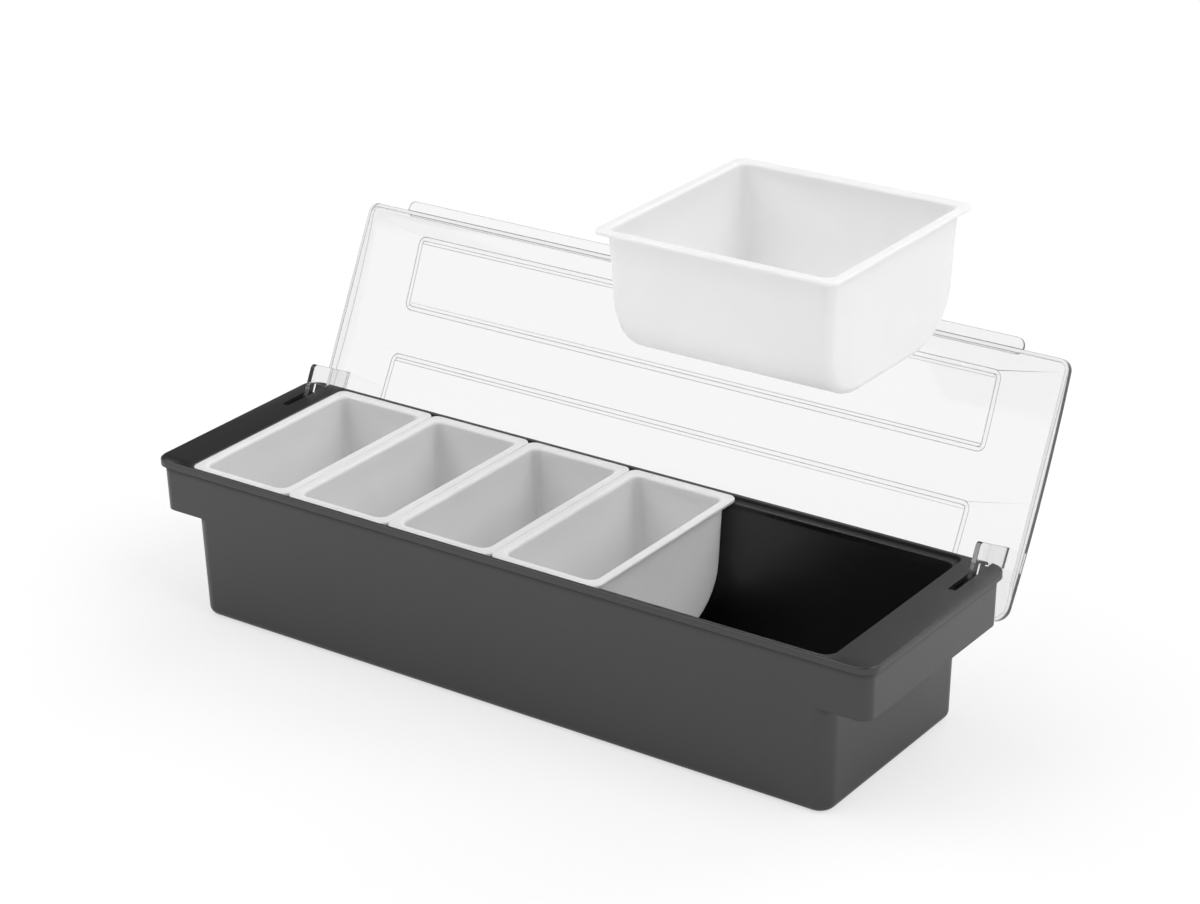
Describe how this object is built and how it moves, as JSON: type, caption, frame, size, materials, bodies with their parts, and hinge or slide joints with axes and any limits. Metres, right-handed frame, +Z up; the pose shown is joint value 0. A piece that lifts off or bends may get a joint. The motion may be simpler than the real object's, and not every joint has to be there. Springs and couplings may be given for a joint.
{
  "type": "condiment caddy",
  "caption": "Long charcoal plastic caddy with hollow end handles, white lift-out inserts in its top and one full-length clear lid that swings on hooks.",
  "frame": {"origin": "middle of the tub's flat underside, on the table", "axes": "+X along the tub's length to the right seen from the front, +Y to the rear where the lid's hooks are, +Z up"},
  "size_m": [0.5, 0.2196, 0.3058],
  "materials": {
    "body": "fine matte texture",
    "insert": "smooth satin, milky white",
    "lid": "clear moulded plastic"
  },
  "bodies": {
    "tub": {"body": "body"},
    "lid": {"lid": "lid"},
    "insert_1": {"insert_1": "insert"},
    "insert_2": {"insert_2": "insert"},
    "insert_3": {"insert_3": "insert"},
    "insert_4": {"insert_4": "insert"},
    "large_insert": {"large_insert": "insert"}
  },
  "joints": [
    {"name": "lid_hinge", "type": "hinge", "parent": "tub", "child": "lid", "pos_m": [0, 0.06409, 0.0829], "axis": [-1, 0, 0], "range_deg": [-117, 0]},
    {"name": "insert_1_lift", "type": "slide", "parent": "tub", "child": "insert_1", "axis": [0, 0, 1], "range_m": [0, 0.12]},
    {"name": "insert_2_lift", "type": "slide", "parent": "tub", "child": "insert_2", "axis": [0, 0, 1], "range_m": [0, 0.12]},
    {"name": "insert_3_lift", "type": "slide", "parent": "tub", "child": "insert_3", "axis": [0, 0, 1], "range_m": [0, 0.12]},
    {"name": "insert_4_lift", "type": "slide", "parent": "tub", "child": "insert_4", "axis": [0, 0, 1], "range_m": [0, 0.12]},
    {"name": "large_insert_lift", "type": "slide", "parent": "tub", "child": "large_insert", "axis": [0, 0, 1], "range_m": [-0.208, 0]}
  ]
}
